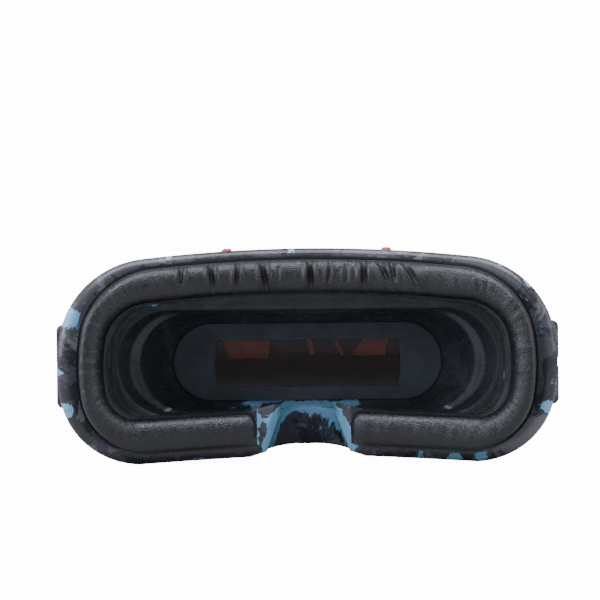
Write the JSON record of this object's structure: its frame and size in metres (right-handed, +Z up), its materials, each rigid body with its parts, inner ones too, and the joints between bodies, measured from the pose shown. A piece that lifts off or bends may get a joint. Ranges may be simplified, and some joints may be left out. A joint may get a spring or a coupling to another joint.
{
  "type": "fpv goggles",
  "caption": "Box-shaped video goggles with a soft face pad open at the nose, a stepped funnel to a wide smoked window, strap loops and antenna jacks.",
  "frame": {"origin": "middle of the footprint, on the surface the goggles stand on", "axes": "+Y the way the wearer looks, +X the wearer's right, +Z up"},
  "size_m": [0.1974, 0.1117, 0.0829],
  "materials": {
    "shell": "glossy camouflage film under clear coat",
    "pad": "soft grained leatherette over foam",
    "black_plastic": "fine matte texture",
    "smoked_window": "smoked and polished",
    "clear_glass": "polished",
    "mirror": "polished",
    "screen": "polished",
    "steel": "stamped and brushed",
    "amber_film": "thin glossy film",
    "circuit_board": "solder mask",
    "battery_wrap": "heat-shrunk film",
    "gold_brass": "gold plated",
    "red_plastic": "moulded"
  },
  "bodies": {
    "headset": {"rear_shell": "shell", "front_shell": "shell", "face_pad": "pad", "pad_frame": "black_plastic", "optics_bezel": "black_plastic", "window_glass": "smoked_window", "optics_box": "black_plastic", "beam_splitter": "clear_glass", "splitter_rail_left": "black_plastic", "splitter_rail_right": "black_plastic", "concave_mirror": "mirror", "lcd_panel": "screen", "lcd_bracket": "steel", "polyimide_tabs": "amber_film", "main_board": "circuit_board", "board_screws": "steel", "buzzer": "black_plastic", "red_switch_left": "black_plastic", "red_switch_right": "black_plastic", "band_switch": "black_plastic", "channel_switch": "black_plastic", "search_switch": "black_plastic", "receiver_left": "steel", "receiver_right": "steel", "battery_left": "battery_wrap", "battery_right": "battery_wrap", "antenna_jack_left": "gold_brass", "antenna_jack_right": "gold_brass", "jack_nuts": "gold_brass", "av_jack": "black_plastic", "dc_jack": "black_plastic", "power_switch": "steel", "card_slot": "steel", "light_pipe": "clear_glass", "strap_loop_left": "shell", "strap_loop_right": "shell", "shell_screws": "steel"},
    "red_button_left": {"red_button_left": "red_plastic"},
    "red_button_right": {"red_button_right": "red_plastic"},
    "band_button": {"band_button": "black_plastic"},
    "channel_button": {"channel_button": "black_plastic"},
    "search_button": {"search_button": "black_plastic"},
    "power_slider": {"power_slider": "black_plastic"},
    "memory_card": {"memory_card": "black_plastic"}
  },
  "joints": [
    {"name": "red_button_left_press", "type": "slide", "parent": "headset", "child": "red_button_left", "axis": [0, 0, -1], "range_m": [0, 0.0003], "stiffness_N_per_m": 800, "springref_m": -0.0005},
    {"name": "red_button_right_press", "type": "slide", "parent": "headset", "child": "red_button_right", "axis": [0, 0, -1], "range_m": [0, 0.0003], "stiffness_N_per_m": 800, "springref_m": -0.0005},
    {"name": "band_press", "type": "slide", "parent": "headset", "child": "band_button", "axis": [0, 0, -1], "range_m": [0, 0.0003], "stiffness_N_per_m": 800, "springref_m": -0.0005},
    {"name": "channel_press", "type": "slide", "parent": "headset", "child": "channel_button", "axis": [0, 0, -1], "range_m": [0, 0.0003], "stiffness_N_per_m": 800, "springref_m": -0.0005},
    {"name": "search_press", "type": "slide", "parent": "headset", "child": "search_button", "axis": [0, 0, -1], "range_m": [0, 0.0003], "stiffness_N_per_m": 800, "springref_m": -0.0005},
    {"name": "power_slide", "type": "slide", "parent": "headset", "child": "power_slider", "axis": [1, 0, 0], "range_m": [0, 0.004]},
    {"name": "card_slide", "type": "slide", "parent": "headset", "child": "memory_card", "axis": [0, 1, 0], "range_m": [0, 0.009]}
  ]
}
